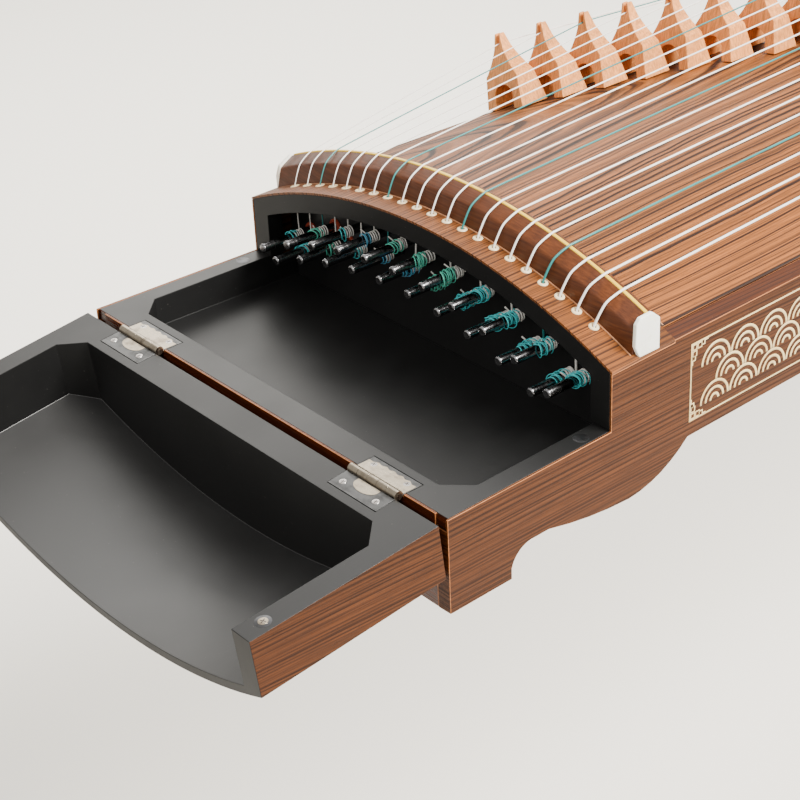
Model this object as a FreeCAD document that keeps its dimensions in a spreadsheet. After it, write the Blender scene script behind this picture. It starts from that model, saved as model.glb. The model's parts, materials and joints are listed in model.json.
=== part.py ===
import FreeCAD, Part
import Sketcher
import math
import os

# A 21-string guzheng with its string-box lid hanging open.
# Built along +X from the head end face, which lies at x = 0 of the layout; +Y is the treble side,
# +Z is up. Every placement then moves the layout so that the origin is under the head rest bar.

STRINGS = 21
DIMENSIONS = {
    # case
    "body_length": 1630, "head_width": 350, "tail_width": 268, "side_thickness": 10,
    "edge_level": 102.1, "belly_level": 30, "arch_rise": 38.1, "tail_rise": 27,
    "board_thickness": 8, "back_thickness": 6, "veneer": 1.5, "band_slope": 0.42,
    "side_end": 1490, "tail_drop_start": 1503, "tail_end_level": 70,
    # head
    "rim_level": 62.6, "riser_front": 129.5, "riser_thickness": 12, "soundboard_start": 183,
    "foot_length": 48, "foot_step": 7, "apron_rise": 24, "rest_centre": 29, "cove_start": 66, "cove_end": 78,
    "cove_level": 19.8, "lobe_start": 146, "lobe_level": 9.1, "lobe_end": 197.5, "tail_heel": 45,
    # string box
    "flange_thickness": 8, "box_bottom": 35.6, "pocket_depth": 21, "end_rim": 21, "side_rim": 15,
    "rim_chamfer": 15, "box_end": 153,
    # pin block and pins
    "block_end": 200, "pin_radius": 3.1, "pin_play": 0.05, "pin_tip": 110.5, "pin_length": 80,
    "pin_arc_top": 112.5, "pin_arc_radius": 317, "pin_row_drop": 11, "pin_pitch": 13.7,
    # nuts, strings and bridges
    "eyelet_row": 145, "eyelet_radius": 3.35, "eyelet_pitch": 14.17, "nut_front": 149.5, "nut_rear": 170,
    "nut_height": 17.9, "nut_shoulder": 12.5, "nut_set_back": 3.4, "nut_slope": 10.3, "strip_centre": 164.7,
    "nut_pitch": 14.64, "cap_start": 165.8, "cap_thickness": 4.9, "bridge_height": 54, "bridge_base": 40,
    "bridge_foot": 10, "bridge_length": 25.2, "slot_width": 2.8, "slot_depth": 8, "waist_level": 24,
    "waist_taper": 2.5, "waist_half": 8.5, "horn_length": 10, "horn_half": 4.8, "tip_half": 2.9,
    "crest_half": 2.2, "bridge_arch": 11, "first_bridge": 351, "bridge_step": 25, "bridge_growth": 0.55,
    "bridge_pitch": 14.1, "thinnest_string": 0.75, "string_growth": 0.042,
    "rear_nut_centre": 1385, "rear_nut_swing": 45, "rear_nut_width": 12, "rear_nut_height": 13,
    "rear_nut_radius": 150, "rear_nut_pitch": 11.9, "tail_hole_row": 1516, "tail_hole_radius": 1.7,
    # lid
    "lid_length": 127.4, "lid_wall": 16, "lid_board": 6, "hinge_gap": 0.3, "hinge_reach": 3.2,
    "barrel_radius": 3, "leaf_depth": 14, "leaf_thickness": 1.2, "hinge_length": 42, "hinge_offset": 117,
    "hinge_pin": 1.2,
}
LID_OPEN_ANGLE = 186.3
BARRELS = 5
BOARD_GAP = 0.4
STRING_GAP = 0.5
SOUND_HOLES = ((480, 120, 46), (1180, 190, 70))   # middle, length and width of each
BRACES = (400, 720, 1020, 1300)

doc = FreeCAD.newDocument("guzheng")
sheet = doc.addObject("Spreadsheet::Sheet", "Dims")
for row, (alias, number) in enumerate(DIMENSIONS.items(), start=1):
    sheet.set(f"A{row}", alias)
    sheet.set(f"B{row}", str(number))
    sheet.setAlias(f"B{row}", alias)
doc.recompute()


class Size:
    """A number together with the spreadsheet expression that gives it."""

    def __init__(self, value, text=None):
        self.value = float(value)
        self.bound = text is not None
        self.text = text if self.bound else f"({self.value!r})"

    def combine(self, other, sign, value):
        other = size(other)
        text = f"({self.text} {sign} {other.text})"
        return Size(value(self.value, other.value), text if self.bound or other.bound else None)

    def __add__(self, other):
        return self.combine(other, "+", lambda a, b: a + b)

    def __sub__(self, other):
        return self.combine(other, "-", lambda a, b: a - b)

    def __mul__(self, other):
        return self.combine(other, "*", lambda a, b: a * b)

    def __truediv__(self, other):
        return self.combine(other, "/", lambda a, b: a / b)

    def __rsub__(self, other):
        return size(other) - self

    def __neg__(self):
        return self * -1

    __radd__ = __add__
    __rmul__ = __mul__


def size(number):
    return number if isinstance(number, Size) else Size(number)


def root(number):
    return Size(math.sqrt(number.value), f"sqrt({number.text})")


class Dimensions:
    """Gives each spreadsheet cell as a Size: D.head_width is the cell of that name."""

    def __getattr__(self, alias):
        return Size(DIMENSIONS[alias], f"Dims.{alias}")


D = Dimensions()


# ---- the shape that the boards share ----

def half_width(x):
    """Half the outer width at x along the body."""
    return (D.head_width - (D.head_width - D.tail_width) * x / D.body_length) / 2


def inner_half(x):
    """Half the width between the side boards."""
    return half_width(x) - D.side_thickness - 0.05


def arch(x, rise):
    """Radius and centre height of the top arch whose edges meet the sides at x."""
    half = half_width(x)
    radius = (half * half + rise * rise) / (rise * 2)
    return radius, D.edge_level + rise - radius


HEAD_RADIUS, HEAD_CENTRE = arch(D.riser_front, D.arch_rise)
TAIL_RADIUS, TAIL_CENTRE = arch(D.side_end, D.tail_rise)


def arc_level(radius, centre, y):
    """Height of an arc about a centre on the middle plane."""
    return centre + root(radius * radius - y * y)


def top_level(x, y):
    """Height of the top of the instrument, as a number."""
    if x <= D.soundboard_start.value:
        return HEAD_CENTRE.value + math.sqrt(HEAD_RADIUS.value ** 2 - y * y)
    start, end = D.soundboard_start.value, D.side_end.value
    share = (x - start) / (end - start)
    head_turn = math.asin(inner_half(D.soundboard_start).value / HEAD_RADIUS.value)
    tail_turn = math.asin(inner_half(D.side_end).value / TAIL_RADIUS.value)
    low, high = -1.3, 1.3
    for _ in range(50):
        turn = (low + high) / 2
        head_y = HEAD_RADIUS.value * math.sin(turn * head_turn)
        tail_y = TAIL_RADIUS.value * math.sin(turn * tail_turn)
        if head_y + (tail_y - head_y) * share < y:
            low = turn
        else:
            high = turn
    head_z = HEAD_CENTRE.value + HEAD_RADIUS.value * math.cos(turn * head_turn)
    tail_z = TAIL_CENTRE.value + TAIL_RADIUS.value * math.cos(turn * tail_turn)
    return head_z + (tail_z - head_z) * share


def lean(x, y):
    """Angle of the top's slope at a point, positive towards +Y."""
    step = 1
    return math.atan((top_level(x, y - step) - top_level(x, y + step)) / (2 * step))


# ---- sketches and features ----

def bind(target, path, number):
    number = size(number)
    if number.bound:
        target.setExpression(path, number.text)
    else:
        setattr(target, path, number.value)


def place(target, x=0, y=0, z=0, rotation=None):
    """Puts a sub-part in the layout; the layout's origin is under the head rest bar."""
    base = FreeCAD.Vector(x - D.rest_centre.value, y, z)
    target.Placement = FreeCAD.Placement(base, rotation or FreeCAD.Rotation())


def new_body(name):
    body = doc.addObject("PartDesign::Body", name)
    body.Label = name
    return body


def new_sketch(body, plane, offset=0, lift=0):
    """A sketch on one of the body's own planes, moved along its normal and up its height."""
    sketch = body.newObject("Sketcher::SketchObject", body.Name + "_sketch")
    support = [feature for feature in body.Origin.OriginFeatures if feature.Role == plane + "_Plane"]
    sketch.AttachmentSupport = [(support[0], "")]
    sketch.MapMode = "FlatFace"
    for axis, number in (("y", size(lift)), ("z", size(offset))):
        sketch.setExpression(f"AttachmentOffset.Base.{axis}", number.text)
    return sketch


def arc_between(start, end, radius):
    """The short arc from start to end: to the left of its chord if the radius is negative."""
    chord = end - start
    sagitta = abs(radius) - math.sqrt(radius * radius - chord.Length ** 2 / 4)
    aside = FreeCAD.Vector(chord.y, -chord.x, 0).normalize() * math.copysign(sagitta, radius)
    return Part.Arc(start, (start + end) / 2 + aside, end)


def pin_point(sketch, edge, corner, point, constraints, bindings):
    """Holds one end of an edge at a point (x, y)."""
    for kind, axis, number in (("DistanceX", -2, size(point[0])), ("DistanceY", -1, size(point[1]))):
        if number.value == 0 and not number.bound:
            constraints.append(Sketcher.Constraint("PointOnObject", edge, corner, axis))
            continue
        if number.bound:
            bindings.append((len(constraints), number.text))
        constraints.append(Sketcher.Constraint(kind, -1, 1, edge, corner, number.value))


def constrain(sketch, constraints, bindings):
    sketch.addConstraint(constraints)
    for index, text in bindings:
        sketch.setExpression(f"Constraints[{index}]", text)


def outline(body, plane, points, offset=0, lift=0):
    """A closed outline. A point (x, y, radius) is reached by an arc of that radius."""
    sketch = new_sketch(body, plane, offset, lift)
    constraints, bindings = [], []
    for start, end in zip(points, points[1:] + points[:1]):
        first, last = [FreeCAD.Vector(size(p[0]).value, size(p[1]).value, 0) for p in (start, end)]
        radius = size(end[2]) if len(end) > 2 else None
        if radius:
            edge = sketch.addGeometry(arc_between(first, last, radius.value))
            if radius.bound:
                bindings.append((len(constraints), f"abs({radius.text})"))
            constraints.append(Sketcher.Constraint("Radius", edge, abs(radius.value)))
        else:
            edge = sketch.addGeometry(Part.LineSegment(first, last))
        same_way = sketch.getPoint(edge, 1).distanceToPoint(first) < 1e-4
        for corner, point in ((1, start), (2, end)) if same_way else ((2, start), (1, end)):
            pin_point(sketch, edge, corner, point, constraints, bindings)
    constrain(sketch, constraints, bindings)
    return sketch


def circles(body, plane, centres, radius, offset=0):
    sketch = new_sketch(body, plane, offset)
    constraints, bindings = [], []
    for centre in centres:
        middle = FreeCAD.Vector(size(centre[0]).value, size(centre[1]).value, 0)
        edge = sketch.addGeometry(Part.Circle(middle, FreeCAD.Vector(0, 0, 1), size(radius).value))
        pin_point(sketch, edge, 3, centre, constraints, bindings)
        bindings.append((len(constraints), size(radius).text))
        constraints.append(Sketcher.Constraint("Radius", edge, size(radius).value))
    constrain(sketch, constraints, bindings)
    return sketch


def feature(body, kind, profile, **numbers):
    """A PartDesign feature: numbers are bound, anything else is set."""
    made = body.newObject("PartDesign::" + kind, f"{body.Name}_{kind}")
    made.Profile = profile
    for path, number in numbers.items():
        if isinstance(number, (Size, float, int)) and not isinstance(number, bool):
            bind(made, path, number)
        else:
            setattr(made, path, number)
    return made


def pad(body, profile, length, back=False, side="One side"):
    return feature(body, "Pad", profile, Length=length, Reversed=back, SideType=side)


def pocket(body, profile, length, forward=False, side="One side"):
    """Cuts against the sketch's normal, or along it when forward is set."""
    return feature(body, "Pocket", profile, Length=length, Reversed=forward, SideType=side)


def loft(body, sections, kind="AdditiveLoft"):
    return feature(body, kind, sections[0], Sections=sections[1:], Ruled=True)


def compound(name, members):
    group = doc.addObject("Part::Compound", name)
    group.Label = name
    group.Links = members
    return group


def boolean(kind, name, base, tool):
    made = doc.addObject("Part::" + kind, name)
    made.Label = name
    made.Base = base
    made.Tool = tool
    return made


def rectangle(low_x, high_x, low_y, high_y):
    return [(low_x, low_y), (high_x, low_y), (high_x, high_y), (low_x, high_y)]


def tapered_plan(start, end, half_at):
    """A plan outline from start to end whose half width is half_at(x)."""
    return [(start, -half_at(start)), (end, -half_at(end)), (end, half_at(end)), (start, half_at(start))]


def arched(half, radius, centre, bottom):
    """An outline across the body: a flat bottom, upright sides and an arched top."""
    top = arc_level(radius, centre, half)
    return [(-half, bottom), (half, bottom), (half, top), (-half, top, radius)]


# ---- case ----

def side_board(name, side):
    """A side board whose outer face lies on y = 0 of its own frame; side is -1 near, +1 far."""
    body = new_body(name)
    near = side < 0
    head_top = D.edge_level - D.veneer + D.side_thickness * D.band_slope
    top = D.edge_level + D.side_thickness * D.band_slope
    foot = [(0, 0), (D.foot_length, 0), (D.foot_length, D.foot_step), (D.cove_start, D.cove_level, -17),
            (D.cove_end, D.cove_level)]
    lobe = [(D.lobe_start, D.lobe_level, 297), (D.lobe_end, D.belly_level, 80)]
    joint = D.soundboard_start + BOARD_GAP
    upper = [(D.side_end, D.belly_level), (D.side_end, top), (joint, top), (joint, head_top),
             (D.riser_front, head_top), (D.riser_front, D.rim_level)]
    profile = outline(body, "XZ", foot + lobe + upper + [(0, D.rim_level)])
    pad(body, profile, D.side_thickness, back=near)
    rabbet = rectangle(-1, D.riser_front + D.riser_thickness + 0.5, D.rim_level - D.flange_thickness, 120)
    inside = outline(body, "XZ", rabbet, offset=D.side_thickness * side)
    pocket(body, inside, D.side_thickness - D.veneer, forward=near)
    for start, end, edge in ((D.riser_front - 1, joint, D.edge_level - D.veneer - 0.15),
                             (joint, D.side_end + 1, D.edge_level)):
        over = D.side_thickness + 1
        triangle = [(side, edge - D.band_slope), (-side * over, edge + D.band_slope * over),
                    (side, edge + D.band_slope * over)]
        slope = outline(body, "YZ", triangle, offset=start)
        pocket(body, slope, end - start, forward=True)
    taper = math.degrees(math.atan((half_width(0) - half_width(D.body_length)).value / D.body_length.value))
    turn = FreeCAD.Rotation(FreeCAD.Vector(0, 0, 1), -side * taper)
    place(body, y=side * half_width(0).value, rotation=turn)
    return body


def leaf_mortises(body, level, start, end, forward=False):
    """Shallow recesses for the two hinge leaves."""
    for side in (-1, 1):
        middle = D.hinge_offset * side
        reach = D.hinge_length / 2 + 0.3
        recess = outline(body, "XY", rectangle(start, end, middle - reach, middle + reach), offset=level)
        pocket(body, recess, D.leaf_thickness + 0.1, forward=forward)


def head_end_board():
    body = new_body("head_end_board")
    half = inner_half(D.side_thickness)
    corner = half - 18
    radius = (corner * corner + D.apron_rise * D.apron_rise) / (D.apron_rise * 2)
    points = [(-half, 0), (-corner, 0), (corner, 0, -radius), (half, 0), (half, D.rim_level),
              (-half, D.rim_level)]
    pad(body, outline(body, "YZ", points), D.side_thickness)
    rabbet = rectangle(D.veneer, D.side_thickness + 1, D.rim_level - D.flange_thickness, D.rim_level + 1)
    pocket(body, outline(body, "XZ", rabbet), D.head_width * 2, side="Symmetric")
    leaf_mortises(body, D.rim_level, -1, D.veneer + 1)
    place(body)
    return body


def string_box():
    """The black box behind the lid: a flange that is the rim, walls, and a floor."""
    body = new_body("string_box")
    flange_level = D.rim_level - D.flange_thickness
    start, end = D.veneer + 0.02, D.riser_front + D.riser_thickness - 0.02
    flange = tapered_plan(start, end, lambda x: half_width(x) - D.veneer - 0.05)
    pad(body, outline(body, "XY", flange, offset=flange_level), D.flange_thickness)
    under = tapered_plan(D.side_thickness + 0.02, D.box_end, inner_half)
    pad(body, outline(body, "XY", under, offset=D.box_bottom), flange_level - D.box_bottom)
    shoulder = D.end_rim + D.rim_chamfer
    inside = tapered_plan(shoulder, D.box_end + 1, lambda x: half_width(x) - D.side_rim)
    end_half = half_width(shoulder) - D.side_rim - D.rim_chamfer
    well = [(D.end_rim, -end_half)] + inside + [(D.end_rim, end_half)]
    pocket(body, outline(body, "XY", well, offset=D.rim_level), D.pocket_depth)
    leaf_mortises(body, D.rim_level, D.veneer - 1, D.leaf_depth + 0.4)
    place(body)
    return body


def under_arch(body, raised, start, length):
    """Cuts away all that is under the head arch, raised by a distance."""
    half = D.head_width / 2 + 5
    level = arc_level(HEAD_RADIUS + raised, HEAD_CENTRE, half)
    region = [(-half, -5), (half, -5), (half, level), (-half, level, HEAD_RADIUS + raised)]
    pocket(body, outline(body, "YZ", region, offset=start), length, forward=True)


def riser_panel():
    """The arched frame in front of the tuning pins."""
    body = new_body("riser_panel")
    half = half_width(D.riser_front + D.riser_thickness) - D.veneer - 0.05
    opening = half - D.side_rim - 0.5
    outer, inner = HEAD_RADIUS - D.veneer - 0.02, HEAD_RADIUS - D.veneer - 13
    shoulder = arc_level(inner, HEAD_CENTRE, opening)
    points = [(-half, D.rim_level), (-opening, D.rim_level), (-opening, shoulder),
              (opening, shoulder, -inner), (opening, D.rim_level), (half, D.rim_level),
              (half, arc_level(outer, HEAD_CENTRE, half)),
              (-half, arc_level(outer, HEAD_CENTRE, half), outer)]
    pad(body, outline(body, "YZ", points, offset=D.riser_front), D.riser_thickness - 0.02)
    place(body)
    return body


def head_board_section(x):
    """Across the head board: veneer-thin over the side boards, full thickness between them."""
    half, inside = half_width(x), inner_half(x)
    edge = arc_level(HEAD_RADIUS, HEAD_CENTRE, half)
    underside = HEAD_RADIUS - D.board_thickness
    inner_edge = edge - D.veneer + D.side_thickness * D.band_slope + 0.05
    inner_level = arc_level(underside, HEAD_CENTRE, inside)
    return [(-half, edge - D.veneer), (-inside, inner_edge), (-inside, inner_level),
            (inside, inner_level, -underside), (inside, inner_edge), (half, edge - D.veneer), (half, edge),
            (-half, edge, HEAD_RADIUS)]


def eyelet_place(number):
    """Centre of an eyelet on the head board, with the angle at which it leans out."""
    y = (STRINGS // 2 + 1 - number) * D.eyelet_pitch.value
    return y, top_level(D.eyelet_row.value, y), lean(D.eyelet_row.value, y)


def head_board():
    body = new_body("head_board_blank")
    stations = (D.riser_front, D.soundboard_start)
    loft(body, [outline(body, "YZ", head_board_section(x), offset=x) for x in stations])
    under_arch(body, -D.veneer, D.riser_front - 1, D.riser_thickness + 1)
    place(body)
    drills = []
    for number in range(1, STRINGS + 1):
        y, z, angle = eyelet_place(number)
        drill = doc.addObject("Part::Cylinder", f"eyelet_drill_{number:02d}")
        bind(drill, "Radius", D.eyelet_radius)
        drill.Height = 40
        turn = FreeCAD.Rotation(FreeCAD.Vector(1, 0, 0), -math.degrees(angle))
        middle = turn.multVec(FreeCAD.Vector(0, 0, 20))
        place(drill, D.eyelet_row.value, y - middle.y, z - middle.z, turn)
        drills.append(drill)
    return boolean("Cut", "head_board", body, compound("eyelet_drills", drills))


def pin_place(number):
    """Height and side of a tuning pin: odd strings in the upper row, even ones in the lower."""
    y = D.pin_pitch * (STRINGS // 2 + 1 - number)
    z = D.pin_arc_top - D.pin_arc_radius + root(D.pin_arc_radius * D.pin_arc_radius - y * y)
    return y, z - D.pin_row_drop if number % 2 == 0 else z


def pin_block():
    body = new_body("pin_block")
    radius = HEAD_RADIUS - D.board_thickness - 0.5
    points = arched(inner_half(D.block_end), radius, HEAD_CENTRE, D.belly_level)
    pad(body, outline(body, "YZ", points, offset=D.box_end), D.block_end - D.box_end)
    centres = [pin_place(number) for number in range(1, STRINGS + 1)]
    bores = circles(body, "YZ", centres, D.pin_radius + D.pin_play, offset=D.box_end)
    pocket(body, bores, D.pin_tip + D.pin_length - D.box_end + 2, forward=True)
    place(body)
    return body


def tuning_pin(number):
    """A round steel pin with a rounded tip and a cross hole for the string."""
    body = new_body(f"tuning_pin_{number:02d}")
    points = [(0, 0), (D.pin_length, 0), (D.pin_length, D.pin_radius), (1.2, D.pin_radius),
              (0, D.pin_radius - 1.2, 1.2)]
    profile = outline(body, "XZ", points)
    feature(body, "Revolution", profile, Angle=360, ReferenceAxis=(profile, ["H_Axis"]))
    cross = circles(body, "XY", [(D.eyelet_row - D.pin_tip - 6, 0)], 0.9)
    pocket(body, cross, D.pin_radius * 4, side="Symmetric")
    y, z = pin_place(number)
    place(body, D.pin_tip.value, y.value, z.value)
    return body


def front_nut():
    """The hardwood nut across the head, with a bone cap on each end."""
    bar = new_body("nut_bar")
    outer, inner = HEAD_RADIUS + D.nut_height, HEAD_RADIUS + 0.03
    half = D.cap_start - 0.02
    low, high = arc_level(inner, HEAD_CENTRE, half), arc_level(outer, HEAD_CENTRE, half)
    section = [(-half, low), (half, low, -inner), (half, high), (-half, high, outer)]
    pad(bar, outline(bar, "YZ", section, offset=D.nut_front), D.nut_rear - D.nut_front)
    crest = HEAD_RADIUS + D.nut_height + 1
    front = [(D.nut_front - 1, HEAD_RADIUS), (D.nut_front, HEAD_RADIUS),
             (D.nut_front + D.nut_set_back, HEAD_RADIUS + D.nut_shoulder),
             (D.nut_front + D.nut_set_back + D.nut_slope, HEAD_RADIUS + D.nut_height),
             (D.nut_front + D.nut_set_back + D.nut_slope, crest),
             (D.nut_front - 1, crest)]
    rear = [(D.nut_rear - 3, HEAD_RADIUS + D.nut_height), (D.nut_rear, HEAD_RADIUS + D.nut_height - 4),
            (D.nut_rear + 1, HEAD_RADIUS + D.nut_height - 4), (D.nut_rear + 1, crest),
            (D.nut_rear - 3, crest)]
    for corner in (front, rear):
        profile = outline(bar, "XZ", corner, lift=HEAD_CENTRE)
        feature(bar, "Groove", profile, Angle=60, Midplane=True, ReferenceAxis=(profile, ["H_Axis"]))
    place(bar)
    return compound("front_nut", [bar] + [nut_cap(side) for side in (-1, 1)])


def nut_cap(side):
    cap = new_body("near_nut_cap" if side < 0 else "far_nut_cap")
    top = D.edge_level + 26.5
    points = [(D.nut_front + 1, D.edge_level - 3), (D.nut_rear, D.edge_level - 3), (D.nut_rear, top - 5.5),
              (D.nut_rear - 5, top), (D.nut_front + 6, top - 2), (D.nut_front + 1.5, top - 6)]
    profile = outline(cap, "XZ", points, offset=D.cap_start * -side)
    pad(cap, profile, D.cap_thickness, back=side > 0)
    under_arch(cap, 0.03, D.nut_front - 3, 30)
    place(cap)
    return cap


def top_section(half_at, x, radius, centre, raised, bottom):
    return arched(half_at(x), radius + raised, centre, bottom)


def arched_body(name, raised):
    """A solid under the soundboard's top surface raised by a distance, for seating things on it."""
    body = new_body(name)
    stations = ((D.soundboard_start, HEAD_RADIUS, HEAD_CENTRE), (D.side_end, TAIL_RADIUS, TAIL_CENTRE))
    loft(body, [outline(body, "YZ", top_section(inner_half, x, radius, centre, raised, 60), offset=x)
                for x, radius, centre in stations])
    place(body)
    return body


def soundboard():
    body = new_body("soundboard")
    sections = []
    for x, radius, centre in ((D.soundboard_start, HEAD_RADIUS, HEAD_CENTRE),
                              (D.side_end, TAIL_RADIUS, TAIL_CENTRE)):
        half, under = inner_half(x), radius - D.board_thickness
        low, high = arc_level(under, centre, half), arc_level(radius, centre, half)
        points = [(-half, low), (half, low, -under), (half, high), (-half, high, radius)]
        sections.append(outline(body, "YZ", points, offset=x))
    loft(body, sections)
    place(body)
    return body


def back_board():
    """The flat back, with two sound holes."""
    body = new_body("back_board")
    plan = tapered_plan(D.block_end, D.side_end, inner_half)
    pad(body, outline(body, "XY", plan, offset=D.belly_level), D.back_thickness)
    for middle, length, width in SOUND_HOLES:
        left, right = middle - length / 2, middle + length / 2
        pocket(body, outline(body, "XY", hole_points(left, right, width), offset=50), 40)
    place(body)
    return body


def hole_points(left, right, width):
    """An oblong with bowed ends."""
    half = width / 2
    return [(left, -half, half * 1.1), (right, -half), (right, half, half * 1.1), (left, half)]


def rear_nut_x(y):
    """Where the S-shaped rear nut's middle line crosses a given y, as a number."""
    swing, half, radius = D.rear_nut_swing.value, inner_half(D.side_end).value, D.rear_nut_radius.value
    chord = math.hypot(swing, half)
    to_centre = math.sqrt(radius ** 2 - chord ** 2 / 4)
    centre_x = swing / 2 - half / chord * to_centre
    centre_y = half / 2 + swing / chord * to_centre
    aside = centre_x + math.sqrt(radius ** 2 - (abs(y) - centre_y) ** 2)
    return D.rear_nut_centre.value - math.copysign(aside, y)


def rear_nut():
    """The low S-shaped nut on the soundboard's tail."""
    blank = new_body("rear_nut_blank")
    half, swing, width = inner_half(D.side_end), D.rear_nut_swing, D.rear_nut_width / 2
    left, right = D.rear_nut_centre - width, D.rear_nut_centre + width
    bend = D.rear_nut_radius
    points = [(right + swing, -half), (right, 0, bend), (right - swing, half, -bend),
              (left - swing, half), (left, 0, bend), (left + swing, -half, -bend)]
    pad(blank, outline(blank, "XY", points, offset=80), 80)
    place(blank)
    crown = arched_body("rear_nut_crown", D.rear_nut_height)
    seat = arched_body("rear_nut_seat", 0.02)
    return boolean("Cut", "rear_nut", boolean("Common", "rear_nut_prism", blank, crown), seat)


def tail_hole(number):
    """Centre of a string hole in the tail block, in two staggered rows."""
    y = D.rear_nut_pitch * (STRINGS // 2 + 1 - number) * 0.97
    return D.tail_hole_row + 8 * (number % 2), y


def tail_block():
    """The solid end of the body: its arched top falls away towards the tail."""
    body = new_body("tail_block")
    stations = (D.side_end, D.body_length)
    loft(body, [outline(body, "YZ", top_section(half_width, x, TAIL_RADIUS, TAIL_CENTRE, 0, D.belly_level),
                        offset=x) for x in stations])
    crest = D.edge_level + D.tail_rise
    fall = [(D.tail_drop_start, crest + 2), (D.body_length + 1, D.tail_end_level, -170),
            (D.body_length + 1, crest + 30), (D.tail_drop_start, crest + 30)]
    pocket(body, outline(body, "XZ", fall), D.head_width * 2, side="Symmetric")
    under = [(D.body_length - 30, 0), (D.body_length + 1, 0), (D.body_length + 1, 45), ]
    heel = under + [(D.body_length - D.tail_heel, D.belly_level - 1, -60)]
    pocket(body, outline(body, "XZ", heel), D.head_width * 2, side="Symmetric")
    holes = circles(body, "XY", [tail_hole(number) for number in range(1, STRINGS + 1)],
                    D.tail_hole_radius, offset=140)
    pocket(body, holes, 50)
    place(body)
    return body


def arch_braces():
    """Arched braces that stand on the back and press up under the soundboard."""
    braces = []
    for index, x in enumerate(BRACES, start=1):
        body = new_body(f"brace_{index}")
        share = (D.side_end - x) / (D.side_end - D.soundboard_start)
        radius = TAIL_RADIUS + (HEAD_RADIUS - TAIL_RADIUS) * share
        centre = TAIL_CENTRE + (HEAD_CENTRE - TAIL_CENTRE) * share
        outer, inner = radius - D.board_thickness - 0.6, radius - D.board_thickness - 22
        half = inner_half(x + 6)
        leg, floor = half - 24, D.belly_level + D.back_thickness
        points = [(-half, floor), (-leg, floor), (-leg, arc_level(inner, centre, leg)),
                  (leg, arc_level(inner, centre, leg), -inner), (leg, floor), (half, floor),
                  (half, arc_level(outer, centre, half)), (-half, arc_level(outer, centre, half), outer)]
        pad(body, outline(body, "YZ", points, offset=x), 12, side="Symmetric")
        place(body)
        braces.append(body)
    return compound("arch_braces", braces)


def rest_bars():
    """The cross bars on which the head and the tail rest on a stand."""
    bars = []
    tail_half = Size(118)
    for name, start, end, half, top in (
            ("head_rest_bar", D.side_thickness + 0.05, D.foot_length, inner_half(D.foot_length),
             D.box_bottom - 0.02),
            ("tail_rest_bar", D.body_length - 95, D.body_length - 58, tail_half, D.belly_level)):
        bar = doc.addObject("Part::Box", name)
        bind(bar, "Length", end - start)
        bind(bar, "Width", half * 2)
        bind(bar, "Height", top)
        place(bar, start.value, -half.value)
        bars.append(bar)
    return compound("rest_bars", bars)


# ---- strings and bridges ----

def bridge_x(number):
    step = number - 1
    return (D.first_bridge + D.bridge_step * step + D.bridge_growth * step * step).value


def bridge_y(number):
    narrowing = 0.004
    spacing = D.bridge_pitch.value - narrowing * (bridge_x(number) - bridge_x(1))
    return (STRINGS // 2 + 1 - number) * spacing


def bridge(number):
    """A movable bridge: two feet, a waist and two horns with the string's slot between them."""
    body = new_body(f"bridge_{number:02d}")
    base, foot, high = D.bridge_base / 2, D.bridge_foot, D.bridge_height
    slot, bed = D.slot_width / 2, high - D.slot_depth
    waist, arch_top = base - D.waist_taper, D.bridge_arch
    horn = [(D.horn_half, high - D.horn_length), (D.tip_half, high), (slot, high), (slot, bed)]
    right = [(base - foot, 0), (base, 0), (waist, D.waist_level), (*horn[0], -60)] + horn[1:]
    left = [(-x, z) for x, z in reversed(horn)]
    points = right + left + [(-waist, D.waist_level, -60), (-base, 0), (foot - base, 0),
                             (foot - base, arch_top), (base - foot, arch_top, (foot - base) * 1.08)]
    pad(body, outline(body, "YZ", points), D.bridge_length, side="Symmetric")
    half = D.bridge_length / 2
    for side in (-1, 1):
        flank = [((half + 1) * side, -1), (half * side, 0), (D.waist_half * side, D.waist_level),
                 (D.crest_half * side, high + 1), ((half + 1) * side, high + 1)]
        pocket(body, outline(body, "XZ", flank), D.bridge_base * 2, side="Symmetric")
    x, y = bridge_x(number), bridge_y(number)
    turn = FreeCAD.Rotation(FreeCAD.Vector(1, 0, 0), -math.degrees(lean(x, y)))
    lift = turn.multVec(FreeCAD.Vector(0, 0, 0.3))
    place(body, x, y + lift.y, top_level(x, y) + lift.z, turn)
    return body


def string_diameter(number):
    return (D.thinnest_string + D.string_growth * (number - 1)).value


def above(x, y, height):
    """The point over (x, y) that stands clear of the top by a height."""
    angle = lean(x, y)
    return x, y, top_level(x, y) + height / math.cos(angle)


def string_path(number):
    """Pin, eyelet, nut, bridge, rear nut and tail hole, as points in the layout."""
    offset = STRINGS // 2 + 1 - number
    radius = string_diameter(number) / 2
    pin_y, pin_z = pin_place(number)
    eyelet_x, eyelet_y = D.eyelet_row.value, offset * D.eyelet_pitch.value
    strip_y = offset * D.nut_pitch.value
    bend_x = (D.nut_front + D.nut_set_back).value - STRING_GAP
    over = radius + STRING_GAP
    x, y = bridge_x(number), bridge_y(number)
    angle = lean(x, y)
    seat = (D.bridge_height - D.slot_depth).value + over + 0.35
    tail_y = offset * D.rear_nut_pitch.value
    hole_x, hole_y = [number.value for number in tail_hole(number)]
    return [
        (eyelet_x, pin_y.value, (pin_z + D.pin_radius).value + radius),
        above(eyelet_x, eyelet_y, 1),
        above(bend_x, (eyelet_y + strip_y) / 2, D.nut_shoulder.value + over),
        above(D.strip_centre.value, strip_y, D.nut_height.value + over + 0.3),
        (x, y + seat * math.sin(angle), top_level(x, y) + seat * math.cos(angle)),
        above(rear_nut_x(tail_y), tail_y, D.rear_nut_height.value + over + 0.4),
        (hole_x, hole_y, top_level(D.side_end.value, hole_y) + over + 0.3),
        (hole_x, hole_y, top_level(D.side_end.value, hole_y) - 20),
    ]


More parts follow.
